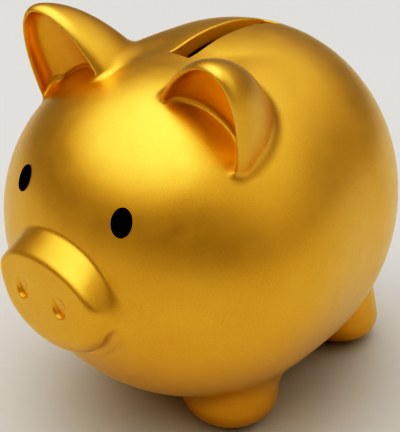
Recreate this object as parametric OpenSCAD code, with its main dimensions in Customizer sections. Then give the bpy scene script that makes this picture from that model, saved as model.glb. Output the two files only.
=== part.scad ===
// Pig-shaped coin bank: a hollow ceramic body with stuck-on snout, ears, legs and
// tail, flat black eyes, a coin slot along the back and a rubber stopper in the belly.
// Millimetres. The pig faces -Y, its left side is +X and it stands on z = 0.

/* [Body] */
// Half width of the body across the flanks
body_half_w = 50; // [48:0.5:52]
// Half length of the body along the spine
body_half_l = 55; // [53:0.5:57]
// Half height of the body
body_half_h = 55.8; // [54:0.1:57]
// Half width of the head
head_half_w = 53.8; // [52:0.1:55]
// Half length of the head
head_half_l = 44.5; // [43:0.5:46]
// Half height of the head
head_half_h = 50; // [48:0.5:51]
// Distance of the head's centre in front of the body's centre
head_ahead = 25; // [23:0.5:27]
// Height of the head's centre above the body's centre
head_rise = 1.3; // [0:0.1:2]
// Thickness of the ceramic wall
wall = 5; // [4:0.5:6]
// Gap between the belly and the table
belly_gap = 4.6; // [4.6:0.2:7]

/* [Coin slot] */
// Width of the slot, across the back
slot_w = 6.5; // [5.5:0.5:8]
// Length of the slot, along the spine
slot_l = 39; // [34:1:42]
// Distance of the slot's middle in front of the body's centre
slot_ahead = 2; // [0:0.5:4]

/* [Snout] */
// Distance of the snout's flat face in front of the body's centre
snout_reach = 74.6; // [73:0.2:77]
// Half width of the snout
snout_half_w = 19.5; // [18:0.5:21]
// Half height of the snout's flat face
snout_half_h = 13.5; // [12:0.5:15]
// Drop of the snout's middle below the body's centre
snout_drop = 2.5; // [1:0.5:4]
// Radius of the rounding round the face
snout_edge_r = 5; // [4:0.5:6]
// Distance between the middles of the two nostrils
nostril_pitch = 14.2; // [12:0.2:16]
// Half width of a nostril
nostril_half_w = 2.4; // [2:0.1:3]
// Half height of a nostril
nostril_half_h = 3; // [2.5:0.1:3.5]
// Depth of a nostril
nostril_depth = 1.3; // [0.8:0.1:1.8]

/* [Ears] */
// Distance of an ear's centre from the middle plane
ear_x = 17.1; // [15:0.1:19]
// Distance of an ear's centre in front of the body's centre
ear_ahead = 31.7; // [30:0.1:33]
// Height of an ear's centre above the body's centre
ear_rise = 26.8; // [25:0.1:28]
// Half width of an ear
ear_half_w = 16.8; // [15:0.1:18]
// Half thickness of an ear, front to back
ear_half_t = 22.6; // [20:0.1:24]
// Half length of an ear, root to tip
ear_half_l = 42.2; // [40:0.1:44]
// Width of the lip round the hollow in the front of an ear
ear_lip = 2.2; // [1.8:0.1:3]
// Depth of the hollow
scoop_depth = 8; // [6:0.5:9]
// How much lower the left ear is set than the right one
ear_left_drop = 2; // [0:0.5:2.5]

/* [Legs] */
// Radius of a leg
leg_r = 15; // [14:0.5:16]
// Radius of the rounding round a foot
foot_edge_r = 8.5; // [7:0.5:8.5]
// Distance of a front leg from the middle plane
front_leg_x = 19; // [18:0.5:21]
// Distance of a front leg in front of the body's centre
front_leg_ahead = 19.5; // [18:0.5:21]
// Distance of a rear leg from the middle plane
rear_leg_x = 16.8; // [16:0.2:19]
// Distance of a rear leg's foot behind the body's centre
rear_leg_behind = 40; // [38:0.5:41]
// Backward slant of a rear leg, from the hip to the foot
rear_leg_slant = 9; // [6:1:11]

/* [Tail] */
// Radius of the tail
tail_r = 2.2; // [2:0.1:2.5]
// Radius of the outer turn of the curl
tail_curl_r = 6.5; // [6:0.5:7]
// Height of the curl's middle above the body's centre
tail_rise = 4; // [0:1:8]

/* [Eyes] */
// Width of an eye
eye_w = 5.8; // [5:0.2:7]
// Height of an eye
eye_h = 8; // [7:0.2:9]
// Distance of an eye from the middle plane
eye_x = 18.8; // [17:0.2:21]
// Height of an eye above the body's centre
eye_rise = 22.8; // [21:0.2:25]
// How far an eye stands proud of the head
eye_t = 0.4; // [0.4:0.1:0.8]
// Depth of the shallow seat that an eye is set in
eye_seat = 0.6; // [0.4:0.1:1]

/* [Stopper] */
// Radius of the hole in the belly
hole_r = 12; // [11:0.5:12.5]
// Distance of the hole behind the body's centre
hole_behind = 8; // [7:0.5:9]
// Radius of the stopper's flange
flange_r = 15; // [14:0.5:15.5]
// Thickness of the stopper's flange
flange_t = 2; // [1.5:0.1:2.5]
// Height of the stopper's stem above the belly's lowest point
stem_h = 9; // [8:0.5:12]
// Thickness of the stem's wall round its finger recess
stem_wall = 3; // [2.5:0.5:4]
// Gap all round the stopper's stem in the hole
stem_gap = 0.06; // [0.02:0.01:0.08]

/* [Foot pads] */
// Radius of a foot pad
pad_r = 6; // [5:0.5:6.5]
// Thickness of a foot pad
pad_t = 1; // [0.8:0.1:1.5]

/* [Hidden] */
$fn = 72;

gold = [0.85, 0.63, 0.18];
black = [0.02, 0.02, 0.02];
rubber = [0.12, 0.12, 0.13];

// The body's centre. The frame's origin is under the middle of the whole bank,
// between the snout's face and the back of the tail's curl.
tail_stand_off = 1.2;
tail_reach = body_half_l + tail_stand_off + tail_r;
centre_y = (snout_reach - tail_reach) / 2;
centre_z = belly_gap + body_half_h;
centre = [0, centre_y, centre_z];

head_offset = [0, -head_ahead, head_rise];
cut = 200;

// Direction that an ear's rim faces: tipped down and a little inwards
ear_face_tip = 11.5;
ear_face_turn = -4.5;
// Middle of the flat rim, from the body's centre
ear_face_at = [28.3, -43, 52.3];
// Turn of an ear's long axis away from upright
ear_turn = [26.8, 23.1, 5.7];
// The hollow's floor: half width, half length, drop of its middle below the rim's middle
// and lean along the rim. It runs down to the head.
scoop_half_w = 15.5;
scoop_half_l = 30;
scoop_drop = 17;
scoop_lean = 12;

// The snout's straight disc runs back into the head
snout_disc_l = 30;
// A flare spreads the snout's root where it meets the head
flare_ahead = 62;
flare_rise = 1;
flare_half = [snout_half_w + 1.5, 11.5, snout_half_h + 6.5];
// Rise of the nostrils above the snout's middle
nostril_rise = 1;

// Radius of the inner turn of the curl
tail_inner_r = 0.62 * tail_curl_r;

// An eye's middle on the head, from the head's centre, and the turn of its normal
eye_z = eye_rise - head_rise;
eye_y = -head_half_l * sqrt(1 - pow(eye_x / head_half_w, 2) - pow(eye_z / head_half_h, 2));
eye_at = [eye_x, eye_y, eye_z];
eye_normal = [eye_x / pow(head_half_w, 2), eye_y / pow(head_half_l, 2), eye_z / pow(head_half_h, 2)];
eye_azimuth = atan2(eye_normal[0], -eye_normal[1]);
eye_pitch = -atan2(eye_normal[2], norm([eye_normal[0], eye_normal[1]]));

leg_top_r = leg_r - 1;
leg_h = 40;
rear_leg_top_r = leg_r - 3.5;
// A slanted rear foot starts this far below the pad's top and is trimmed level with it
foot_trim = 1;

stem_r = hole_r - stem_gap;
flange_gap = 0.3;

module ellipsoid(half) {
    scale(half) sphere(r = 1);
}

// The outer skin of body and head, moved out by grow
module skin(grow = 0) {
    translate(centre) {
        ellipsoid([body_half_w, body_half_l, body_half_h] + grow * [1, 1, 1]);
        translate(head_offset)
            ellipsoid([head_half_w, head_half_l, head_half_h] + grow * [1, 1, 1]);
    }
}

// Copies its children to the pig's right side when side is -1
module on_side(side) {
    if (side > 0) children();
    else mirror([1, 0, 0]) children();
}

module body_shell() {
    color(gold) difference() {
        skin();
        skin(-wall);
        for (side = [-1, 1]) at_eye(side) eye_button(1, 0);
        translate([-slot_w / 2, centre_y - slot_ahead - slot_l / 2, centre_z])
            cube([slot_w, slot_l, cut]);
        translate([0, centre_y + hole_behind, -cut])
            cylinder(r = hole_r, h = cut + centre_z);
    }
}

// An oval disc with a rounded front edge, its flat face at y = 0 and its back at y = depth
module snout_disc(depth) {
    edge = snout_edge_r / snout_half_w;
    scale([snout_half_w, 1, snout_half_h])
        rotate([90, 0, 0])
            mirror([0, 0, 1])
                rotate_extrude()
                    snout_profile(edge, depth);
}

module snout_profile(edge, depth) {
    difference() {
        square([1, depth]);
        translate([1 - edge, 0]) difference() {
            square([edge, snout_edge_r]);
            translate([0, snout_edge_r]) scale([edge, snout_edge_r]) circle(r = 1);
        }
    }
}

module snout() {
    color(gold) difference() {
        union() {
            translate(centre + [0, -snout_reach, -snout_drop]) snout_disc(snout_disc_l);
            translate(centre + [0, -flare_ahead, flare_rise - snout_drop]) ellipsoid(flare_half);
        }
        skin();
        for (side = [-1, 1])
            translate(centre + [side * nostril_pitch / 2, -snout_reach, nostril_rise - snout_drop])
                ellipsoid([nostril_half_w, nostril_depth, nostril_half_h]);
    }
}

// Places its children with -Y facing the way the ear's rim faces
module at_ear_face() {
    translate(centre + ear_face_at)
        rotate([ear_face_tip, 0, ear_face_turn])
            children();
}

// An ear's outer shape, moved in by inset
module ear_leaf(inset = 0) {
    translate(centre + [ear_x, -ear_ahead, ear_rise])
        rotate(ear_turn)
            ellipsoid([ear_half_w, ear_half_t, ear_half_l] - inset * [1, 1, 1]);
}

module ear(side) {
    drop = side > 0 ? ear_left_drop : 0;
    color(gold) on_side(side) difference() {
        translate([0, 0, -drop]) difference() {
            ear_leaf();
            at_ear_face()
                translate([-cut / 2, -cut, -cut / 2])
                    cube(cut);
            intersection() {
                ear_leaf(ear_lip);
                at_ear_face()
                    translate([0, 0, -scoop_drop])
                        rotate([0, scoop_lean, 0])
                            ellipsoid([scoop_half_w, scoop_depth, scoop_half_l]);
            }
        }
        skin();
    }
}
module ear_left() { ear(1); }
module ear_right() { ear(-1); }

// A stubby leg with a rounded foot, from z = 0 upwards
module stub(foot_r, top_r, height) {
    rotate_extrude() {
        square([foot_r - foot_edge_r, height]);
        translate([foot_r - foot_edge_r, foot_edge_r]) intersection() {
            circle(r = foot_edge_r);
            translate([0, -foot_edge_r]) square(foot_edge_r);
        }
        polygon([[0, foot_edge_r], [foot_r, foot_edge_r], [top_r, height], [0, height]]);
    }
}

module leg_front(side) {
    color(gold) on_side(side) difference() {
        translate([front_leg_x, centre_y - front_leg_ahead, pad_t])
            stub(leg_r, leg_top_r, leg_h);
        skin();
        translate([front_leg_x, centre_y - front_leg_ahead, leg_h / 2 + cut / 2])
            cube(cut, center = true);
    }
}

module leg_rear(side) {
    color(gold) on_side(side) difference() {
        translate([rear_leg_x, centre_y + rear_leg_behind, pad_t - foot_trim])
            rotate([rear_leg_slant, 0, 0])
                stub(leg_r, rear_leg_top_r, leg_h);
        skin();
        translate([-cut / 2, -cut / 2, pad_t - cut])
            cube(cut);
    }
}
module leg_front_left() { leg_front(1); }
module leg_front_right() { leg_front(-1); }
module leg_rear_left() { leg_rear(1); }
module leg_rear_right() { leg_rear(-1); }

// An arc of the tail round the origin, from angle to angle + sweep
module tail_arc(arc_r, angle, sweep) {
    rotate([0, 0, angle])
        rotate_extrude(angle = sweep)
            translate([arc_r, 0]) circle(r = tail_r);
}

// A round end for the tail, pointing along +Y
module tail_end() {
    rotate([-90, 0, 0])
        rotate_extrude()
            intersection() {
                circle(r = tail_r);
                square(tail_r);
            }
}

// The tail lies in a flat curl against the rump: arcs of a shrinking radius
module tail() {
    color(gold) difference() {
        translate(centre + [0, body_half_l + tail_stand_off, tail_rise]) rotate([90, 0, 0]) {
            tail_arc(tail_curl_r, 0, 180);
            translate([tail_inner_r - tail_curl_r, 0, 0]) tail_arc(tail_inner_r, 180, 180);
            translate([2 * tail_inner_r - tail_curl_r, 0, 0]) tail_end();
            translate([tail_curl_r, 0, 0]) mirror([0, 1, 0]) tail_end();
        }
        skin();
    }
}

// Places its children with -Y along the head's normal at an eye's middle
module at_eye(side) {
    on_side(side)
        translate(centre + head_offset + eye_at)
            rotate([0, 0, eye_azimuth])
                rotate([eye_pitch, 0, 0])
                    children();
}

// An oval button from y = -front to y = back, with a rounded front edge
module eye_button(front, edge) {
    scale([eye_w / 2, 1, eye_h / 2])
        rotate([-90, 0, 0])
            translate([0, 0, -front])
                rotate_extrude($fn = 240)
                    polygon([[0, 0], [1 - 2 * edge, 0], [1 - 0.6 * edge, edge / 2],
                             [1, 2 * edge], [1, front + eye_seat], [0, front + eye_seat]]);
}

module eye(side) {
    color(black) at_eye(side) eye_button(eye_t, 0.1);
}
module eye_left() { eye(1); }
module eye_right() { eye(-1); }

module stopper() {
    color(rubber) translate([0, centre_y + hole_behind, 0]) difference() {
        union() {
            intersection() {
                translate([0, -centre_y - hole_behind, 0]) difference() {
                    skin(flange_gap + flange_t);
                    skin(flange_gap);
                }
                cylinder(r = flange_r, h = centre_z / 2);
            }
            translate([0, 0, belly_gap]) cylinder(r = stem_r, h = stem_h);
        }
        cylinder(r = stem_r - stem_wall, h = belly_gap + stem_h - stem_wall);
    }
}

module pad(x, y) {
    color(rubber) translate([x, y, 0]) cylinder(r = pad_r, h = pad_t);
}
module pad_front_left() { pad(front_leg_x, centre_y - front_leg_ahead); }
module pad_front_right() { pad(-front_leg_x, centre_y - front_leg_ahead); }
module pad_rear_left() { pad(rear_leg_x, centre_y + rear_leg_behind); }
module pad_rear_right() { pad(-rear_leg_x, centre_y + rear_leg_behind); }

body_shell();
snout();
ear_left();
ear_right();
leg_front_left();
leg_front_right();
leg_rear_left();
leg_rear_right();
tail();
eye_left();
eye_right();
stopper();
pad_front_left();
pad_front_right();
pad_rear_left();
pad_rear_right();
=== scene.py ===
import math

import bpy
import numpy as np
from mathutils import Matrix, Vector


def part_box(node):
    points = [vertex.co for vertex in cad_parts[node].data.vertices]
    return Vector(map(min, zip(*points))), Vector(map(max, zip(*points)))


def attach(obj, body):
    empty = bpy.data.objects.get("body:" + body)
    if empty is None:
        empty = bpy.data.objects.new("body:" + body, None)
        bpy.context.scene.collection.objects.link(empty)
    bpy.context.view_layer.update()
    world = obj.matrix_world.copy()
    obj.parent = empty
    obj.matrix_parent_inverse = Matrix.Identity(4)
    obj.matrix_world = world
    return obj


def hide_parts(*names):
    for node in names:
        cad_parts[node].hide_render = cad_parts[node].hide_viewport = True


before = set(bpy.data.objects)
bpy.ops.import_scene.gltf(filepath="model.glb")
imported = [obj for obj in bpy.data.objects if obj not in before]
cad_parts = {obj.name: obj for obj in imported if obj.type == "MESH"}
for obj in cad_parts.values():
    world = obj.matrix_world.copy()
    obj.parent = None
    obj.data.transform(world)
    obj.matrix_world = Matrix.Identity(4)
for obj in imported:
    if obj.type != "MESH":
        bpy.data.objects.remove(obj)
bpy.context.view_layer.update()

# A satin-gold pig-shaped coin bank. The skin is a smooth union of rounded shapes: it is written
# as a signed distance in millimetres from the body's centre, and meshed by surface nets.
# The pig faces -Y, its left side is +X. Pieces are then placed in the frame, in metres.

# ---------------------------------------------------------------- sizes, in millimetres
# Half sizes of the body and of the head, and where the head's centre is from the body's
BODY = (50.0, 55.0, 55.8)
HEAD = (53.8, 44.5, 50.0)
HEAD_AT = (0.0, -25.0, 1.3)
# The fillet between body and head: small along the back, large past the neck's sides
BACK_FILLET = 3.0
NECK_FILLET = 10.0
NECK_SIDES = (8.0, 22.0)
WALL = 5.0

SLOT_WIDTH = 6.5
SLOT_LENGTH = 39.0
SLOT_AHEAD = 2.0
SLOT_EDGE = 0.6
# The back is pressed slightly flat round the slot
PRESS_WIDTH = 13.0
PRESS_LENGTH = 17.0
PRESS_DEPTH = 0.6

# The snout's face is this far ahead of the body's centre. Then the half sizes of the face and of
# its root on the head, and how far each is below the body's centre
SNOUT_REACH = 74.6
SNOUT_FACE = (19.8, 13.1)
SNOUT_FACE_DROP = 4.0
SNOUT_ROOT = (20.4, 17.9)
SNOUT_ROOT_DROP = 1.7
SNOUT_LENGTH = 8.1
SNOUT_BACK = -48.0
# Twice the radius of the face's gentle dome
SNOUT_DOME = 360.0
# Rounding of the face's rim: a ridge on top, and a soft edge elsewhere
SNOUT_RIDGE = 1.1
SNOUT_EDGE = 6.5
# Fillets at the root: a crease on top, larger ones underneath and at the sides
SNOUT_CREASE = 0.5
SNOUT_UNDER_FILLET = 2.5
SNOUT_SIDE_FILLET = 5.5
SNOUT_FILLET_START = (9.0, 15.0)
NOSTRIL = (2.4, 3.0)
NOSTRIL_X = 7.4
NOSTRIL_DROP = 1.3
NOSTRIL_DEPTH = 0.7
NOSTRIL_TILT = 0.16
NOSTRIL_EDGE = 0.6
# Half of the smile, from its corner to the middle
SMILE = (
    (17.8, -66.0, -4.0), (17.1, -66.0, -6.2), (15.5, -65.9, -9.1), (13.2, -65.6, -12.6),
    (11.0, -65.5, -14.8), (8.3, -65.2, -16.9), (4.0, -65.0, -18.6), (0.0, -64.6, -20.1),
)
SMILE_WIDTH = 2.2
SMILE_DEPTH = 1.2

# The ear's leaf: half sizes, centre and turn in degrees
EAR = (17.5, 23.3, 42.9)
EAR_AT = (17.1, -31.7, 26.8)
EAR_TURN = (26.8, 23.1, 5.7)
# The plane of its rim, the rounding of the rim, and the width of the lip round the hollow
EAR_FACE_AT = (28.3, -43.6, 52.2)
EAR_FACE_NORMAL = (-0.077, -0.977, -0.2)
EAR_FOLD = 4.5
EAR_LIP = 2.2
# The hollow: half sizes, drop along the rim and lean in degrees
EAR_SCOOP = (15.5, 8.0, 30.0)
EAR_SCOOP_DROP = 17.0
EAR_SCOOP_LEAN = 12.0
# The ramp at the hollow's foot: where it starts behind the rim, away from the lip and near it
EAR_RAMP_START = -5.5
EAR_RAMP_LIP_START = -0.5
EAR_RAMP_SLOPE = 2.5
EAR_RAMP_RIDGE = 0.2
EAR_FRONT_FILLET = 1.5
EAR_REAR_FILLET = 2.7
EAR_LEFT_DROP = (-0.5, 0.0, -2.0)

LEG_RADIUS = 15.0
LEG_FILLET = 5.0
FOOT_EDGE = 8.5
FRONT_LEG = (19.0, -19.5)
REAR_LEG = (16.8, 40.0)
REAR_LEG_SLANT = 9.0
REAR_LEG_TOP = 3.5
LEG_TOP = -24.0

TAIL_RADIUS = 2.2
TAIL_OUTER = 6.5
TAIL_INNER = 4.03
TAIL_RISE = 4.0
TAIL_STAND_OFF = 1.2
TAIL_FILLET = 1.6

EYE = (2.85, 3.8)
EYE_X = 18.8
EYE_RISE = 22.8

HOLE_RADIUS = 12.0
HOLE_BEHIND = 8.0
FLANGE_RADIUS = 15.0
FLANGE_GAP = 0.3
FLANGE_THICKNESS = 2.0
STEM_RADIUS = 11.94
STEM_TOP = 9.0
RECESS_RADIUS = 8.94
RECESS_TOP = 6.0
PAD_RADIUS = 6.0

MM = 0.001
_, shell_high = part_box("body_shell")
pad_low, pad_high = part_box("pad_front_left")
CENTRE = np.array([0.0, shell_high.y, shell_high.z]) / MM - [0.0, BODY[1], BODY[2]]
FOOT_Z = pad_high.z / MM - CENTRE[2]
FLOOR_Z = pad_low.z / MM - CENTRE[2]


# ---------------------------------------------------------------- signed distances
def join(a, b, fillet):
    """The union of two distances, with a concave fillet where they meet."""
    near = np.maximum(fillet - np.abs(a - b), 0.0) / fillet
    return np.minimum(a, b) - near * near * fillet / 4


def meet(a, b, rounding):
    """What two distances share, with its edge rounded."""
    return -join(-a, -b, rounding)


def cut(a, b, rounding):
    """a with b taken away, and the edge rounded."""
    return meet(a, -b, rounding)


def ease(low, high, value):
    """0 below low, 1 above high and smooth between."""
    t = np.clip((value - low) / (high - low), 0.0, 1.0)
    return t * t * (3 - 2 * t)


def turn_matrix(degrees):
    """The rotation that turns about X, then Y, then Z."""
    x, y, z = (math.radians(a) for a in degrees)
    rx = np.array([[1, 0, 0], [0, math.cos(x), -math.sin(x)], [0, math.sin(x), math.cos(x)]])
    ry = np.array([[math.cos(y), 0, math.sin(y)], [0, 1, 0], [-math.sin(y), 0, math.cos(y)]])
    rz = np.array([[math.cos(z), -math.sin(z), 0], [math.sin(z), math.cos(z), 0], [0, 0, 1]])
    return rz @ ry @ rx


def ellipsoid(p, at, half, turn=None):
    q = p - np.array(at)
    if turn is not None:
        q = q @ turn
    half = np.array(half)
    size = np.linalg.norm(q / half, axis=1) + 1e-9
    slope = np.linalg.norm(q / half**2, axis=1) + 1e-9
    return size * (size - 1.0) / slope


def mirrored(p):
    """The points moved to the pig's left side."""
    return np.column_stack([np.abs(p[:, 0]), p[:, 1], p[:, 2]])


def by_ear(p):
    """The points moved to the ear on their side, as if the left one weren't set lower."""
    return mirrored(p) - np.where(p[:, :1] > 0, EAR_LEFT_DROP, 0.0)


def bare_skin(p, grow=0.0):
    """Body and head, joined by a soft neck."""
    body = ellipsoid(p, (0, 0, 0), np.array(BODY) + grow)
    head = ellipsoid(p, HEAD_AT, np.array(HEAD) + grow)
    return join(body, head, BACK_FILLET + (NECK_FILLET - BACK_FILLET) * ease(*NECK_SIDES, np.abs(p[:, 0])))


EAR_MATRIX = turn_matrix(EAR_TURN)
EAR_NORMAL = np.array(EAR_FACE_NORMAL) / np.linalg.norm(EAR_FACE_NORMAL)


def ear_frame():
    """Columns: across the rim, out of the rim's back, and up along the rim."""
    up = np.array([0.0, 0.0, 1.0])
    up = up - EAR_NORMAL * (up @ EAR_NORMAL)
    up = up / np.linalg.norm(up)
    side = np.cross(up, EAR_NORMAL)
    lean = math.radians(EAR_SCOOP_LEAN)
    across = side * math.cos(lean) - up * math.sin(lean)
    along = side * math.sin(lean) + up * math.cos(lean)
    return np.column_stack([across, -EAR_NORMAL, along])


EAR_FRAME = ear_frame()


def ear_plane(p):
    """How far a point is in front of the plane of the ear's rim."""
    return (p - np.array(EAR_FACE_AT)) @ EAR_NORMAL


def ear_inside(p):
    """The ear's outer shape, a lip's width smaller all round."""
    return ellipsoid(p, EAR_AT, np.array(EAR) - EAR_LIP, EAR_MATRIX)


def ear(p):
    """A leaf with a rolled edge. The foot of its hollow comes forward again in a short ramp,
    with a low ridge of slip along it."""
    outer = ellipsoid(p, EAR_AT, EAR, EAR_MATRIX)
    solid = meet(outer, ear_plane(p), EAR_FOLD)
    scoop_at = np.array(EAR_FACE_AT) - EAR_SCOOP_DROP * EAR_FRAME[:, 2]
    floor = ellipsoid(p, scoop_at, EAR_SCOOP, EAR_FRAME)
    start = EAR_RAMP_START + (EAR_RAMP_LIP_START - EAR_RAMP_START) * ease(-5.0, -1.0, ear_inside(p))
    ramp = (start - ear_plane(p) - EAR_RAMP_SLOPE * bare_skin(p)) / math.hypot(1.0, EAR_RAMP_SLOPE)
    hollow = meet(floor, ramp, 1.6)
    ridge = np.exp(-((floor - ramp) / 0.6) ** 2 - (hollow / 1.5) ** 2)
    return cut(solid, meet(ear_inside(p), hollow + EAR_RAMP_RIDGE * ridge, 2.0), 1.0)


def join_ear(skin, p):
    """The ear joined to the skin, with a larger fillet behind it than in front."""
    leaf = ear(p)
    behind = (1 - ease(-9.0, -2.0, ear_plane(p))) * ease(0.0, 2.5, ear_inside(p))
    return join(skin, leaf, EAR_FRONT_FILLET + (EAR_REAR_FILLET - EAR_FRONT_FILLET) * behind)


def snout_sector(x, z):
    """How far a place is on the snout's top, for the ridge and for the crease, and how far under it."""
    up = z / (np.hypot(x, z) + 1e-6)
    return ease(-0.15, 0.45, up), ease(-0.15, 0.55, up), ease(0.2, 0.8, -up)


def snout(p):
    x, y = p[:, 0], p[:, 1]
    back = np.clip((y + SNOUT_REACH) / SNOUT_LENGTH, 0.0, 1.6)
    z = p[:, 2] + SNOUT_FACE_DROP + (SNOUT_ROOT_DROP - SNOUT_FACE_DROP) * back
    half_x = SNOUT_FACE[0] + (SNOUT_ROOT[0] - SNOUT_FACE[0]) * back
    half_z = SNOUT_FACE[1] + (SNOUT_ROOT[1] - SNOUT_FACE[1]) * back
    size = np.sqrt((x / half_x) ** 2 + (z / half_z) ** 2) + 1e-9
    slope = np.sqrt((x / half_x**2) ** 2 + (z / half_z**2) ** 2) + 1e-9
    side = (size - 1) * size / slope
    dome = (x * x + z * z) / SNOUT_DOME
    face = -SNOUT_REACH + dome - y
    over, _, _ = snout_sector(x, z)
    edge = SNOUT_EDGE + (SNOUT_RIDGE - SNOUT_EDGE) * over
    solid = meet(meet(side, face, edge), y - SNOUT_BACK, 2.0)
    high = p[:, 2] + NOSTRIL_DROP
    hole = np.sqrt(((np.abs(x) - NOSTRIL_X) / NOSTRIL[0]) ** 2 + (high / NOSTRIL[1]) ** 2)
    hole = (hole - 1) * NOSTRIL[0]
    floor = y + SNOUT_REACH - NOSTRIL_DEPTH + NOSTRIL_TILT * high - dome
    return cut(solid, meet(hole, floor, NOSTRIL_EDGE), NOSTRIL_EDGE)


def snout_fillet(p):
    """The fillet round the snout's root. Near the snout's middle it is only the crease's."""
    x, z = p[:, 0], p[:, 2] + SNOUT_ROOT_DROP
    _, over, under = snout_sector(x, z)
    fillet = SNOUT_CREASE * over + SNOUT_UNDER_FILLET * under + SNOUT_SIDE_FILLET * (1 - over) * (1 - under)
    return SNOUT_CREASE + (fillet - SNOUT_CREASE) * ease(*SNOUT_FILLET_START, np.hypot(x, z))


def crease(p, points, width, depth):
    """How far a crease along the points dents the surface. It fades at its start."""
    dent = np.zeros(len(p))
    for number, (a, b) in enumerate(zip(points[:-1], points[1:])):
        ab = b - a
        t = np.clip(((p - a) @ ab) / (ab @ ab), 0.0, 1.0)
        away = np.linalg.norm(p - a - t[:, None] * ab, axis=1)
        here = depth * ease(0.0, 1.5, number + t) * np.clip(1 - away / width, 0.0, 1.0) ** 1.5
        dent = np.maximum(dent, here)
    return dent


def stub(p, at, top_radius, slant):
    """A leg: a round stub with a rounded foot, which may slant backwards as it goes down."""
    height = p[:, 2] - FOOT_Z
    lean = math.tan(math.radians(slant))
    distance = np.hypot(p[:, 0] - at[0], p[:, 1] - at[1] + height * lean)
    taper = ease(0.0, 40.0, height) * (LEG_RADIUS - top_radius)
    across = distance - (LEG_RADIUS - FOOT_EDGE) + taper
    down = FOOT_EDGE - height
    outside = np.hypot(np.maximum(across, 0), np.maximum(down, 0))
    solid = outside + np.minimum(np.maximum(across, down), 0) - FOOT_EDGE
    return meet(solid, p[:, 2] - LEG_TOP, 2.0)


def arc(x, z, centre, radius, upper):
    """Distance to half a turn of a ring, the upper half or the lower one."""
    u, v = x - centre, z
    inside = v >= 0 if upper else v <= 0
    ring = np.abs(np.hypot(u, v) - radius)
    ends = np.minimum(np.hypot(u - radius, v), np.hypot(u + radius, v))
    return np.where(inside, ring, ends)


def tail(p):
    """A flat curl: a large half turn over the top and a smaller one under it."""
    x, z = p[:, 0], p[:, 2] - TAIL_RISE
    y = p[:, 1] - BODY[1] - TAIL_STAND_OFF
    outer = np.hypot(arc(x, z, 0.0, TAIL_OUTER, True), y)
    inner = np.hypot(arc(x, z, TAIL_INNER - TAIL_OUTER, TAIL_INNER, False), y)
    return np.minimum(outer, inner) - TAIL_RADIUS


PARTS = ("body_shell", "snout", "ear_left", "ear_right", "leg_front_left", "leg_front_right",
         "leg_rear_left", "leg_rear_right", "tail")
FINE_PARTS = ("ear_left", "ear_right", "snout", "tail")


def part_distances(p):
    """Each part's own distance, in the order of PARTS."""
    left, right = p, p * np.array([-1.0, 1.0, 1.0])
    rear_top = LEG_RADIUS - REAR_LEG_TOP
    return [
        bare_skin(p),
        snout(p),
        ear(left - np.array(EAR_LEFT_DROP)),
        ear(right),
        stub(left, FRONT_LEG, LEG_RADIUS, 0.0),
        stub(right, FRONT_LEG, LEG_RADIUS, 0.0),
        stub(left, REAR_LEG, rear_top, REAR_LEG_SLANT),
        stub(right, REAR_LEG, rear_top, REAR_LEG_SLANT),
        tail(p),
    ]


def face_skin(p):
    """Body, head, ears and snout."""
    whole = join_ear(bare_skin(p), by_ear(p))
    return join(whole, snout(p), snout_fillet(p))


def outside_skin(p):
    """The whole outer skin: every part joined to body and head by its own fillet."""
    q = mirrored(p)
    rear_top = LEG_RADIUS - REAR_LEG_TOP
    whole = face_skin(p) + crease(q, SMILE_LINE, SMILE_WIDTH, SMILE_DEPTH)
    press = np.exp(-(p[:, 0] / PRESS_WIDTH) ** 2 - ((p[:, 1] + SLOT_AHEAD) / PRESS_LENGTH) ** 2)
    whole = whole + np.where(p[:, 2] > 0, PRESS_DEPTH * press, 0.0)
    whole = join(whole, stub(q, FRONT_LEG, LEG_RADIUS, 0.0), LEG_FILLET)
    whole = join(whole, stub(q, REAR_LEG, rear_top, REAR_LEG_SLANT), LEG_FILLET)
    return join(whole, tail(p), TAIL_FILLET)


def coin_slot(p):
    across = np.abs(p[:, 0]) - SLOT_WIDTH / 2
    along = np.abs(p[:, 1] + SLOT_AHEAD) - SLOT_LENGTH / 2
    outside = np.hypot(np.maximum(across, 0), np.maximum(along, 0))
    return meet(outside + np.minimum(np.maximum(across, along), 0), -p[:, 2], 0.1)


def belly_hole(p):
    return meet(np.hypot(p[:, 0], p[:, 1] - HOLE_BEHIND) - HOLE_RADIUS, p[:, 2], 0.1)


def bank_solid(p):
    """The ceramic: the skin less the hollow, the coin slot and the hole for the stopper."""
    hollow = bare_skin(p, -WALL)
    solid = cut(outside_skin(p), hollow, 0.3)
    solid = cut(solid, coin_slot(p), SLOT_EDGE)
    return cut(solid, belly_hole(p), 1.0)


# ---------------------------------------------------------------- meshing
def grid_lines(low, high, pitch, fine_spans):
    """Grid positions from low to high, a pitch apart, and closer together in the fine spans."""
    lines = [low]
    while lines[-1] < high:
        here = lines[-1]
        step = pitch
        for start, end, fine in fine_spans:
            if start - fine <= here <= end:
                step = min(step, fine)
            elif here < start < here + step:
                step = max(start - here, fine)
        lines.append(here + step)
    return np.array(lines)


def slope_of(distance, p, step=0.02):
    """The distance's gradient at each point."""
    columns = []
    for axis in range(3):
        d = np.zeros(3)
        d[axis] = step
        columns.append((distance(p + d) - distance(p - d)) / (2 * step))
    return np.column_stack(columns)


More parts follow.
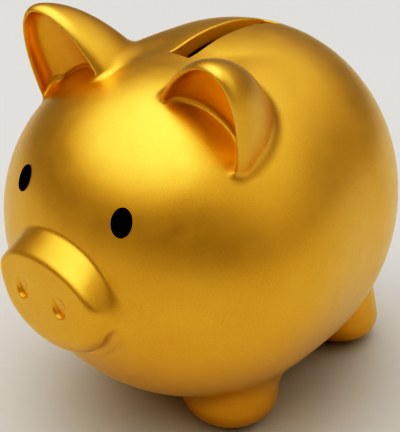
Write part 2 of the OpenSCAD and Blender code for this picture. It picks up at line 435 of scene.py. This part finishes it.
def sample(distance, lines, block=4):
    """Distances at all grid points: worked out near the surface, and only in or out elsewhere."""
    shape = tuple(len(line) for line in lines)
    starts = [np.arange(0, n, block) for n in shape]
    ends = [np.minimum(s + block, n - 1) for s, n in zip(starts, shape)]
    middles = [(line[s] + line[e]) / 2 for line, s, e in zip(lines, starts, ends)]
    halves = [(line[e] - line[s]) / 2 for line, s, e in zip(lines, starts, ends)]
    centre = np.column_stack([g.ravel() for g in np.meshgrid(*middles, indexing="ij")])
    half = np.column_stack([g.ravel() for g in np.meshgrid(*halves, indexing="ij")])
    blocks = tuple(len(s) for s in starts)
    at_centre = distance(centre)
    near = np.abs(at_centre) < 1.5 * np.linalg.norm(half, axis=1) + 1.0
    coarse = np.where(at_centre < 0, -9.0, 9.0).reshape(blocks).astype(np.float32)
    values = np.repeat(np.repeat(np.repeat(coarse, block, 0), block, 1), block, 2)
    values = values[:shape[0], :shape[1], :shape[2]].copy()
    active = near.reshape(blocks)
    active = np.repeat(np.repeat(np.repeat(active, block, 0), block, 1), block, 2)
    index = np.argwhere(active[:shape[0], :shape[1], :shape[2]])
    for first in range(0, len(index), 200000):
        part = index[first:first + 200000]
        points = np.column_stack([line[part[:, n]] for n, line in enumerate(lines)])
        values[tuple(part.T)] = distance(points)
    return values


def surface_net(distance, lines):
    """Vertices and quads of the zero level of distance on a grid with the given lines."""
    xs, ys, zs = lines
    shape = (len(xs), len(ys), len(zs))
    values = sample(distance, lines)
    inside = values < 0
    corners = [(i, j, k) for i in (0, 1) for j in (0, 1) for k in (0, 1)]

    def at(grid, corner):
        i, j, k = corner
        return grid[i:shape[0] - 1 + i, j:shape[1] - 1 + j, k:shape[2] - 1 + k]

    count = sum(at(inside, c).astype(np.int8) for c in corners)
    cells = np.argwhere((count > 0) & (count < 8))
    number = np.full([n - 1 for n in shape], -1, np.int64)
    number[tuple(cells.T)] = np.arange(len(cells))
    total = np.zeros((len(cells), 3))
    hits = np.zeros(len(cells))
    for a in corners:
        for axis in range(3):
            if a[axis]:
                continue
            b = tuple(1 if n == axis else a[n] for n in range(3))
            ia, ib = cells + a, cells + b
            va, vb = values[tuple(ia.T)], values[tuple(ib.T)]
            crosses = (va < 0) != (vb < 0)
            t = np.where(crosses, va / np.where(crosses, va - vb, 1.0), 0.0)[:, None]
            pa = np.column_stack([xs[ia[:, 0]], ys[ia[:, 1]], zs[ia[:, 2]]])
            pb = np.column_stack([xs[ib[:, 0]], ys[ib[:, 1]], zs[ib[:, 2]]])
            total += np.where(crosses[:, None], pa + (pb - pa) * t, 0.0)
            hits += crosses
    verts = total / hits[:, None]
    quads = []
    for axis in range(3):
        u, v = (axis + 1) % 3, (axis + 2) % 3
        ahead = np.moveaxis(inside, axis, 0)
        change = np.moveaxis(ahead[1:] != ahead[:-1], 0, axis)
        edges = np.argwhere(change)
        edges = edges[(edges[:, u] > 0) & (edges[:, v] > 0)]
        ring = []
        for du, dv in ((0, 0), (1, 0), (1, 1), (0, 1)):
            cell = edges.copy()
            cell[:, u] -= du
            cell[:, v] -= dv
            ring.append(number[tuple(cell.T)])
        quad = np.column_stack(ring)
        flip = ~inside[tuple(edges.T)]
        quad[flip] = quad[flip][:, ::-1]
        quads.append(quad)
    return verts, np.vstack(quads)


def settle(distance, verts, rounds=4, reach=0.5):
    """Moves vertices along the slope until they lie on the zero level."""
    for _ in range(rounds):
        slope = slope_of(distance, verts)
        size = np.maximum((slope * slope).sum(1), 0.05)
        step = (distance(verts) / size)[:, None] * slope
        length = np.linalg.norm(step, axis=1, keepdims=True)
        verts = verts - step * np.minimum(1.0, reach / np.maximum(length, 1e-9))
    return verts


def relax(distance, verts, quads, rounds=2, crease=0.05, free=None):
    """Evens out the quads: each vertex slides along the surface towards its neighbours' middle,
    unless it lies on a crease that is sharper than that many millimetres."""
    for _ in range(rounds):
        total = np.zeros_like(verts)
        count = np.zeros(len(verts))
        for a, b in ((0, 1), (1, 2), (2, 3), (3, 0)):
            for s, t in ((a, b), (b, a)):
                np.add.at(total, quads[:, s], verts[quads[:, t]])
                np.add.at(count, quads[:, s], 1)
        move = total / np.maximum(count, 1)[:, None] - verts
        normal = slope_of(distance, verts)
        normal /= np.linalg.norm(normal, axis=1, keepdims=True) + 1e-9
        off = (move * normal).sum(1)
        share = 0.6 * np.clip(1 - np.abs(off) / crease, 0.0, 1.0)
        if free is not None:
            share = share * free
        move -= off[:, None] * normal
        moved = settle(distance, verts + share[:, None] * move, rounds=2)
        verts = moved if free is None else np.where(free[:, None], moved, verts)
    return verts


def split(distance, verts, quads):
    """Each quad becomes four. Points on an open edge stay where they are, on its straight line."""
    count, faces = len(verts), len(quads)
    edges = np.vstack([quads[:, [k, (k + 1) % 4]] for k in range(4)])
    edges = np.sort(edges, axis=1)
    unique, inverse, uses = np.unique(edges, axis=0, return_inverse=True, return_counts=True)
    middles = inverse.reshape(4, faces).T + count
    centres = np.arange(faces) + count + len(unique)
    split_verts = np.vstack([verts, verts[unique].mean(axis=1), verts[quads].mean(axis=1)])
    split_quads = np.vstack([np.column_stack([quads[:, k], middles[:, k], centres, middles[:, k - 1]])
                             for k in range(4)])
    free = np.ones(len(split_verts), bool)
    free[unique[uses == 1].ravel()] = False
    free[count + np.flatnonzero(uses == 1)] = False
    settled = settle(distance, split_verts)
    split_verts = np.where(free[:, None], settled, split_verts)
    return relax(distance, split_verts, split_quads, 3, 0.15, free), split_quads


SMILE_LINE = settle(face_skin, np.array(SMILE), rounds=12, reach=1.0)


def part_of(p):
    """The number in PARTS of the part that each point of the skin belongs to."""
    distances = part_distances(p)
    nearest = np.argmin(np.stack(distances), axis=0)
    return np.where(distances[0] < -0.2, 0, nearest)


def shade(p, normal):
    """At each point: how much of the sky is hidden, how sharp an edge it lies on, and how far it
    is inside the wall, as in the coin slot."""
    hidden, sharp = np.zeros(len(p)), np.zeros(len(p))
    for reach in (0.8, 1.6, 3.2, 6.4):
        hidden += np.clip(1 - bank_solid(p + normal * reach) / reach, 0.0, 1.0) / 4
    for depth in (0.5, 1.0):
        sharp += np.clip(1 + bank_solid(p - normal * depth) / depth, 0.0, 1.0) / 2
    return hidden, sharp, ease(0.5, 1.3, -bare_skin(p))


def metres(p):
    return (np.asarray(p) + CENTRE) * MM


def new_piece(name, verts, faces, normals=None, attributes=None):
    """An object from vertices in millimetres from the body's centre."""
    mesh = bpy.data.meshes.new(name)
    mesh.from_pydata(metres(verts).tolist(), [], [list(map(int, f)) for f in faces])
    mesh.update()
    for key, values in (attributes or {}).items():
        layer = mesh.attributes.new(key, "FLOAT", "POINT")
        layer.data.foreach_set("value", np.asarray(values, np.float32))
    mesh.polygons.foreach_set("use_smooth", [True] * len(mesh.polygons))
    if normals is not None:
        mesh.normals_split_custom_set_from_vertices(normals.tolist())
    obj = bpy.data.objects.new(name, mesh)
    bpy.context.scene.collection.objects.link(obj)
    return obj


def boundary_loops(quads):
    """Closed loops of vertex numbers round the open edges, in the faces' own direction."""
    edges = np.vstack([quads[:, [0, 1]], quads[:, [1, 2]], quads[:, [2, 3]], quads[:, [3, 0]]])
    known = set(map(tuple, edges.tolist()))
    follow = {}
    for a, b in known:
        if (b, a) not in known:
            follow.setdefault(a, []).append(b)
    loops = []
    while follow:
        start = next(iter(follow))
        loop, here = [start], follow[start].pop()
        if not follow[start]:
            del follow[start]
        while here != start:
            loop.append(here)
            ahead = follow[here].pop()
            if not follow[here]:
                del follow[here]
            here = ahead
        loops.append(loop)
    return loops


def tidy_labels(labels, quads, count, rounds=6):
    """Gives a face the label of most of its vertices, and smooths the edges between labels."""
    for _ in range(rounds):
        votes = np.zeros((count, len(PARTS)))
        for column in range(4):
            np.add.at(votes, (quads[:, column], labels), 1)
        score = sum(votes[quads[:, column]] for column in range(4))
        labels = np.argmax(score, axis=1)
    return labels


# ---------------------------------------------------------------- the ceramic skin and its pieces
# The grid is finer along the edges of the coin slot
GRID_PITCH = 0.8
grid = (
    grid_lines(-57.0, 57.0, GRID_PITCH, [(-4.0, -2.5, 0.4), (2.5, 4.0, 0.4)]),
    grid_lines(-77.0, 61.0, GRID_PITCH, [(-22.4, -20.6, 0.45), (16.6, 18.4, 0.45)]),
    grid_lines(FOOT_Z - 1.2, 81.0, GRID_PITCH, []),
)
skin_verts, skin_quads = surface_net(bank_solid, grid)
skin_verts = relax(bank_solid, settle(bank_solid, skin_verts), skin_quads)
face_middles = skin_verts[skin_quads].mean(axis=1)
face_labels = tidy_labels(part_of(face_middles), skin_quads, len(skin_verts))


def skin_piece(number):
    """One part's faces as a closed piece. Each open edge gets a short wall down into the body,
    and a cap that is under the skin."""
    quads = skin_quads[face_labels == number]
    used, flat = np.unique(quads, return_inverse=True)
    quads = flat.reshape(quads.shape)
    verts = skin_verts[used]
    if PARTS[number] in FINE_PARTS:
        verts, quads = split(bank_solid, verts, quads)
    normals = slope_of(bank_solid, verts)
    normals /= np.linalg.norm(normals, axis=1, keepdims=True) + 1e-9
    hidden, sharp, inside = shade(verts, normals)
    faces = quads.tolist()
    is_body = number == 0
    depth, turned = (1.2, -1.0) if is_body else (1.6, 1.0)
    for loop in boundary_loops(quads):
        rim = settle(bare_skin, np.vstack([verts[loop], verts[loop].mean(axis=0)]), reach=5.0)
        inward = -slope_of(bare_skin, rim)
        inward /= np.linalg.norm(inward, axis=1, keepdims=True)
        first, count = len(verts), len(loop)
        verts = np.vstack([verts, rim + inward * depth])
        normals = np.vstack([normals, inward * turned])
        hidden, sharp = np.append(hidden, np.ones(count + 1)), np.append(sharp, np.zeros(count + 1))
        inside = np.append(inside, np.ones(count + 1))
        for k in range(count):
            a, b = loop[k], loop[(k + 1) % count]
            under_a, under_b = first + k, first + (k + 1) % count
            faces.append((b, a, under_a, under_b))
            faces.append((under_b, under_a, first + count))
    attributes = {"hidden": hidden, "sharp": sharp, "inside": inside if is_body else 0.0 * inside}
    return new_piece(PARTS[number] + "_skin", verts, faces, normals, attributes=attributes)


# ---------------------------------------------------------------- materials
class Nodes:
    """A short way to build a node material."""

    def __init__(self, name):
        self.material = bpy.data.materials.new(name)
        self.material.use_nodes = True
        self.tree = self.material.node_tree
        self.shader = self.tree.nodes["Principled BSDF"]
        self.place = self.add("ShaderNodeTexCoord").outputs["Object"]

    def add(self, kind, **values):
        node = self.tree.nodes.new(kind)
        for key, value in values.items():
            setattr(node, key, value)
        return node

    def put(self, socket, value):
        if isinstance(value, bpy.types.NodeSocket):
            self.tree.links.new(value, socket)
        else:
            socket.default_value = value

    def set(self, name, value):
        self.put(self.shader.inputs[name], value)

    def noise(self, size, detail=2.0, roughness=0.5):
        """Noise from 0 to 1 whose grains are about this many millimetres wide."""
        node = self.add("ShaderNodeTexNoise")
        self.put(node.inputs["Vector"], self.place)
        node.inputs["Scale"].default_value = 1000.0 / size
        node.inputs["Detail"].default_value = detail
        node.inputs["Roughness"].default_value = roughness
        return node.outputs["Fac"]

    def attribute(self, name):
        return self.add("ShaderNodeAttribute", attribute_name=name).outputs["Fac"]

    def spread(self, value, low, high, to_low=0.0, to_high=1.0):
        node = self.add("ShaderNodeMapRange")
        for socket, v in zip(node.inputs, (value, low, high, to_low, to_high)):
            self.put(socket, v)
        return node.outputs["Result"]

    def math(self, operation, a, b):
        node = self.add("ShaderNodeMath", operation=operation)
        self.put(node.inputs[0], a)
        self.put(node.inputs[1], b)
        return node.outputs[0]

    def mix(self, factor, a, b, blend="MIX"):
        node = self.add("ShaderNodeMix", data_type="RGBA", blend_type=blend)
        self.put(node.inputs["Factor"], factor)
        colours = [i for i in node.inputs if i.type == "RGBA"]
        for socket, v in zip(colours, (a, b)):
            self.put(socket, v if isinstance(v, bpy.types.NodeSocket) else (*v, 1.0))
        return [o for o in node.outputs if o.type == "RGBA"][0]

    def bump(self, height, depth, under=None):
        """Relief of this many millimetres, over another relief."""
        node = self.add("ShaderNodeBump")
        self.put(node.inputs["Height"], height)
        node.inputs["Distance"].default_value = depth * MM
        if under is not None:
            self.put(node.inputs["Normal"], under)
        return node.outputs["Normal"]


def gold_paint():
    n = Nodes("gold_paint")
    cloud = n.noise(16.0, 3.0)
    grain = n.noise(0.45, 3.0, 0.7)
    hidden = n.attribute("hidden")
    sharp = n.attribute("sharp")
    inside = n.attribute("inside")
    colour = n.mix(cloud, (0.80, 0.47, 0.055), (0.88, 0.555, 0.105))
    colour = n.mix(n.spread(grain, 0.3, 0.7, 0.0, 0.5), colour, (0.92, 0.62, 0.16))
    # Sharp edges open to the sky turn a paler gold: partly rubbed paint, partly a painted highlight along
    # the edge.
    wear_and_edge_highlight = n.math("MULTIPLY", n.spread(sharp, 0.15, 0.8, 0.0, 0.35), n.spread(hidden, 0.2, 0.6, 1.0, 0.0))
    colour = n.mix(wear_and_edge_highlight, colour, (0.93, 0.68, 0.26))
    # Painted shade: where the sky is hidden, in hollows, creases and round the joins, the gold turns a
    # deeper, darker orange.
    colour = n.mix(n.spread(hidden, 0.35, 1.0, 0.0, 0.7), colour, (0.78, 0.37, 0.03))
    # Painted bounce light: inside the coin slot's walls the paint is a bright orange with little metal,
    # standing in for light reflected between the gold walls.
    colour = n.mix(inside, colour, (1.0, 0.64, 0.12))
    n.set("Base Color", colour)
    metal = n.spread(hidden, 0.3, 0.9, 0.94, 0.5)
    n.set("Metallic", n.math("MULTIPLY", metal, n.spread(inside, 0.0, 1.0, 1.0, 0.08)))
    n.set("Coat Weight", 0.7)
    n.set("Coat IOR", 1.6)
    n.set("Coat Roughness", 0.32)
    rough = n.spread(n.noise(5.0, 4.0), 0.3, 0.7, 0.36, 0.43)
    rough = n.math("ADD", rough, n.spread(hidden, 0.1, 0.9, 0.0, 0.12))
    n.set("Roughness", rough)
    uneven = n.bump(n.noise(22.0, 2.0), 0.30)
    orange_peel = n.bump(n.noise(2.6, 2.0), 0.016, uneven)
    fine = n.bump(grain, 0.028, orange_peel)
    n.set("Normal", fine)
    return n.material


def black_enamel():
    n = Nodes("black_enamel")
    n.set("Base Color", n.mix(n.noise(1.5), (0.001, 0.001, 0.001), (0.004, 0.004, 0.004)))
    n.set("Roughness", n.spread(n.noise(0.8, 3.0), 0.3, 0.7, 0.35, 0.5))
    n.set("Specular IOR Level", 0.12)
    n.set("Normal", n.bump(n.noise(0.9, 2.0), 0.012))
    return n.material


def soft_rubber(name, dark, pale, grain, relief):
    n = Nodes(name)
    n.set("Base Color", n.mix(n.spread(n.noise(3.0, 4.0), 0.35, 0.75), dark, pale))
    n.set("Roughness", n.spread(n.noise(1.1, 3.0), 0.3, 0.7, 0.62, 0.82))
    n.set("Normal", n.bump(n.noise(grain, 3.0, 0.7), relief))
    return n.material


gold = gold_paint()
black = black_enamel()
rubber = soft_rubber("stopper_rubber", (0.05, 0.05, 0.052), (0.09, 0.088, 0.086), 0.5, 0.03)
foam = soft_rubber("pad_foam", (0.035, 0.035, 0.035), (0.07, 0.068, 0.066), 0.35, 0.10)


def finish_piece(obj, material, slot, *nodes, body="bank"):
    obj.data.materials.append(material)
    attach(obj, body)
    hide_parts(*nodes)
    return obj


for number, part in enumerate(PARTS):
    finish_piece(skin_piece(number), gold, "gold_paint", part)


# ---------------------------------------------------------------- eyes
def ring_mesh(rings):
    """Faces between rings of points. The first and the last ring are closed by a point."""
    count = len(rings[0])
    verts = np.vstack([*rings, rings[0].mean(axis=0), rings[-1].mean(axis=0)])
    start_tip, end_tip = len(verts) - 2, len(verts) - 1
    last = (len(rings) - 1) * count
    around = [(k, (k + 1) % count) for k in range(count)]
    faces = []
    for first in range(0, last, count):
        faces += [(first + a, first + b, first + b + count, first + a + count) for a, b in around]
    faces += [(b, a, start_tip) for a, b in around]
    faces += [(last + a, last + b, end_tip) for a, b in around]
    return verts, faces


def eye_frame(side):
    """The skin's point at an eye's middle, and the directions across, up and out."""
    at = np.array([[side * EYE_X, -60.0, EYE_RISE]])
    for _ in range(40):
        at[:, 1] += bare_skin(at) * 0.9
    out = slope_of(bare_skin, at)[0]
    out /= np.linalg.norm(out)
    across = np.cross([0.0, 0.0, 1.0], out)
    across /= np.linalg.norm(across)
    return at[0], across, np.cross(out, across), out


def eye_piece(side, name):
    """An oval button that follows the head: a rounded edge, a gentle dome and a seat below the skin."""
    at, across, up, out = eye_frame(side)
    turns = np.linspace(0, 2 * math.pi, 64, endpoint=False)
    oval = np.column_stack([np.cos(turns) * EYE[0], np.sin(turns) * EYE[1]])
    profile = [(0.2, 0.55), (0.5, 0.53), (0.75, 0.48), (0.88, 0.42), (0.95, 0.34), (0.985, 0.22),
               (1.0, 0.05), (1.0, -0.5)]
    rings = []
    for share, lift in reversed(profile):
        flat = at + (oval[:, :1] * across + oval[:, 1:] * up) * share
        rings.append(settle(bare_skin, flat) + out * lift)
    verts, faces = ring_mesh(rings)
    return new_piece(name + "_button", verts, faces)


for side, name in ((1, "eye_left"), (-1, "eye_right")):
    finish_piece(eye_piece(side, name), black, "black_enamel", name)


# ---------------------------------------------------------------- stopper and foot pads
def belly_height(points):
    """Height of the belly's skin above its lowest point, straight above each point."""
    p = points.copy()
    p[:, 2] = -BODY[2]
    for _ in range(40):
        p[:, 2] = np.minimum(p[:, 2] + bare_skin(p), -40.0)
    return p[:, 2] + BODY[2]


def lathe(profile, at, base, count=96):
    """A turned piece round an upright axis at (x, y). The profile is (radius, height, follow) rows;
    where follow is 1 the height is counted from the belly's skin."""
    turns = np.linspace(0, 2 * math.pi, count, endpoint=False)
    rings = []
    for radius, height, follow in profile:
        ring = np.column_stack([at[0] + radius * np.cos(turns), at[1] + radius * np.sin(turns),
                                np.full(count, base + height)])
        if follow:
            ring[:, 2] += belly_height(ring)
        rings.append(ring)
    return ring_mesh(rings)


flange_top = -FLANGE_GAP
flange_bottom = -FLANGE_GAP - FLANGE_THICKNESS
stopper_profile = [
    (7.6, RECESS_TOP, 0), (8.4, RECESS_TOP - 0.2, 0), (8.85, RECESS_TOP - 0.8, 0),
    (RECESS_RADIUS, RECESS_TOP - 1.8, 0), (RECESS_RADIUS, 1.0, 0),
    (RECESS_RADIUS, flange_bottom + 0.9, 1), (9.05, flange_bottom + 0.35, 1),
    (9.5, flange_bottom + 0.02, 1),
    (10.6, flange_bottom, 1), (11.2, flange_bottom, 1), (11.5, flange_bottom + 0.3, 1),
    (12.1, flange_bottom + 0.3, 1), (12.4, flange_bottom, 1), (13.9, flange_bottom, 1),
    (14.6, flange_bottom + 0.15, 1), (14.95, flange_bottom + 0.6, 1),
    (FLANGE_RADIUS, flange_bottom + 1.1, 1),
    (14.9, flange_top - 0.35, 1), (14.5, flange_top - 0.03, 1), (12.3, flange_top, 1),
    (STEM_RADIUS, flange_top + 0.3, 1), (STEM_RADIUS, 3.0, 0), (STEM_RADIUS, STEM_TOP - 0.8, 0),
    (11.7, STEM_TOP - 0.2, 0), (11.1, STEM_TOP, 0),
]
verts, faces = lathe(stopper_profile, (0.0, HOLE_BEHIND), -BODY[2])
finish_piece(new_piece("stopper_plug", verts, faces), rubber, "stopper_rubber", "stopper", body="stopper")

pad_height = FOOT_Z - FLOOR_Z
pad_profile = [(5.3, 0.0, 0), (5.75, 0.06, 0), (5.95, 0.25, 0), (PAD_RADIUS, 0.5, 0),
               (5.98, pad_height - 0.15, 0), (5.8, pad_height, 0)]
for end, (x, y) in (("front", FRONT_LEG), ("rear", REAR_LEG)):
    for side, name in ((1, "left"), (-1, "right")):
        verts, faces = lathe(pad_profile, (side * x, y), FLOOR_Z, 64)
        pad = f"pad_{end}_{name}"
        finish_piece(new_piece(pad + "_disc", verts, faces), foam, "pad_foam", pad)


# ---------------------------------------------------------------- floor, light and camera
def studio_floor():
    mesh = bpy.data.meshes.new("floor")
    half = 3.0
    corners = [(-half, -half, 0), (half, -half, 0), (half, half, 0), (-half, half, 0)]
    mesh.from_pydata(corners, [], [(0, 1, 2, 3)])
    floor = bpy.data.objects.new("floor", mesh)
    bpy.context.scene.collection.objects.link(floor)
    n = Nodes("floor")
    n.set("Base Color", n.mix(n.noise(240.0), (0.70, 0.70, 0.69), (0.73, 0.73, 0.72)))
    n.set("Roughness", 0.85)
    mesh.materials.append(n.material)


def direction(azimuth, elevation):
    """Azimuth 0 is in front of the pig and 90 on its left side."""
    a, e = math.radians(azimuth), math.radians(elevation)
    return Vector((math.sin(a) * math.cos(e), -math.cos(a) * math.cos(e), math.sin(e)))


# Soft lights of the studio: azimuth, elevation, inner and outer half angle, colour, strength
LOBES = (
    (-35.0, 65.0, 24.0, 46.0, (1.0, 0.98, 0.95), 1.28),
    (-175.0, 60.0, 10.0, 50.0, (1.0, 0.98, 0.95), 0.35),
    (110.0, 65.0, 15.0, 60.0, (1.0, 0.98, 0.95), 0.40),
    (120.0, 15.0, 10.0, 55.0, (1.0, 0.99, 0.97), 0.15),
)
AMBIENT = 0.25


def studio_world():
    world = bpy.data.worlds.new("studio")
    bpy.context.scene.world = world
    world.use_nodes = True
    tree = world.node_tree
    place = tree.nodes.new("ShaderNodeTexCoord").outputs["Generated"]
    total = None
    for azimuth, elevation, inner, outer, colour, strength in LOBES:
        dot = tree.nodes.new("ShaderNodeVectorMath")
        dot.operation = "DOT_PRODUCT"
        dot.inputs[1].default_value = direction(azimuth, elevation)
        tree.links.new(place, dot.inputs[0])
        lobe = tree.nodes.new("ShaderNodeMapRange")
        lobe.interpolation_type = "SMOOTHSTEP"
        tree.links.new(dot.outputs["Value"], lobe.inputs["Value"])
        lobe.inputs["From Min"].default_value = math.cos(math.radians(outer))
        lobe.inputs["From Max"].default_value = math.cos(math.radians(inner))
        scaled = tree.nodes.new("ShaderNodeVectorMath")
        scaled.operation = "SCALE"
        scaled.inputs[0].default_value = [c * strength for c in colour]
        tree.links.new(lobe.outputs["Result"], scaled.inputs["Scale"])
        if total is not None:
            both = tree.nodes.new("ShaderNodeVectorMath")
            tree.links.new(total, both.inputs[0])
            tree.links.new(scaled.outputs["Vector"], both.inputs[1])
            scaled = both
        total = scaled.outputs["Vector"]
    even = tree.nodes.new("ShaderNodeVectorMath")
    tree.links.new(total, even.inputs[0])
    even.inputs[1].default_value = [AMBIENT] * 3
    tree.links.new(even.outputs["Vector"], tree.nodes["Background"].inputs["Color"])


CAMERA_TARGET = (-0.15, -12.75, -0.95)
CAMERA_AZIMUTH = 42.41
CAMERA_ELEVATION = 27.717
CAMERA_DISTANCE = 292.9
CAMERA_ROLL = 0.386
CAMERA_LENS = 81.07


def studio_camera():
    data = bpy.data.cameras.new("camera")
    data.lens = CAMERA_LENS
    data.clip_start = 0.01
    camera = bpy.data.objects.new("camera", data)
    bpy.context.scene.collection.objects.link(camera)
    back = direction(CAMERA_AZIMUTH, CAMERA_ELEVATION)
    right = Vector((0, 0, 1)).cross(back).normalized()
    up = back.cross(right)
    roll = math.radians(CAMERA_ROLL)
    turned = Matrix((right * math.cos(roll) + up * math.sin(roll),
                     up * math.cos(roll) - right * math.sin(roll), back)).transposed()
    at = Vector(metres(np.array(CAMERA_TARGET))) + back * CAMERA_DISTANCE * MM
    camera.matrix_world = Matrix.Translation(at) @ turned.to_4x4()
    bpy.context.scene.camera = camera


# The picture's contrast: brightness in, brightness out
CONTRAST = (
    (0.05, 0.003), (0.12, 0.03), (0.25, 0.145), (0.4, 0.36), (0.55, 0.585), (0.7, 0.785), (0.85, 0.93),
)


def studio_contrast():
    settings = bpy.context.scene.view_settings
    settings.use_curve_mapping = True
    curve = settings.curve_mapping.curves[3]
    for x, y in CONTRAST:
        curve.points.new(x, y)
    settings.curve_mapping.update()


studio_floor()
studio_world()
studio_camera()
bpy.context.scene.view_settings.view_transform = "Standard"
studio_contrast()
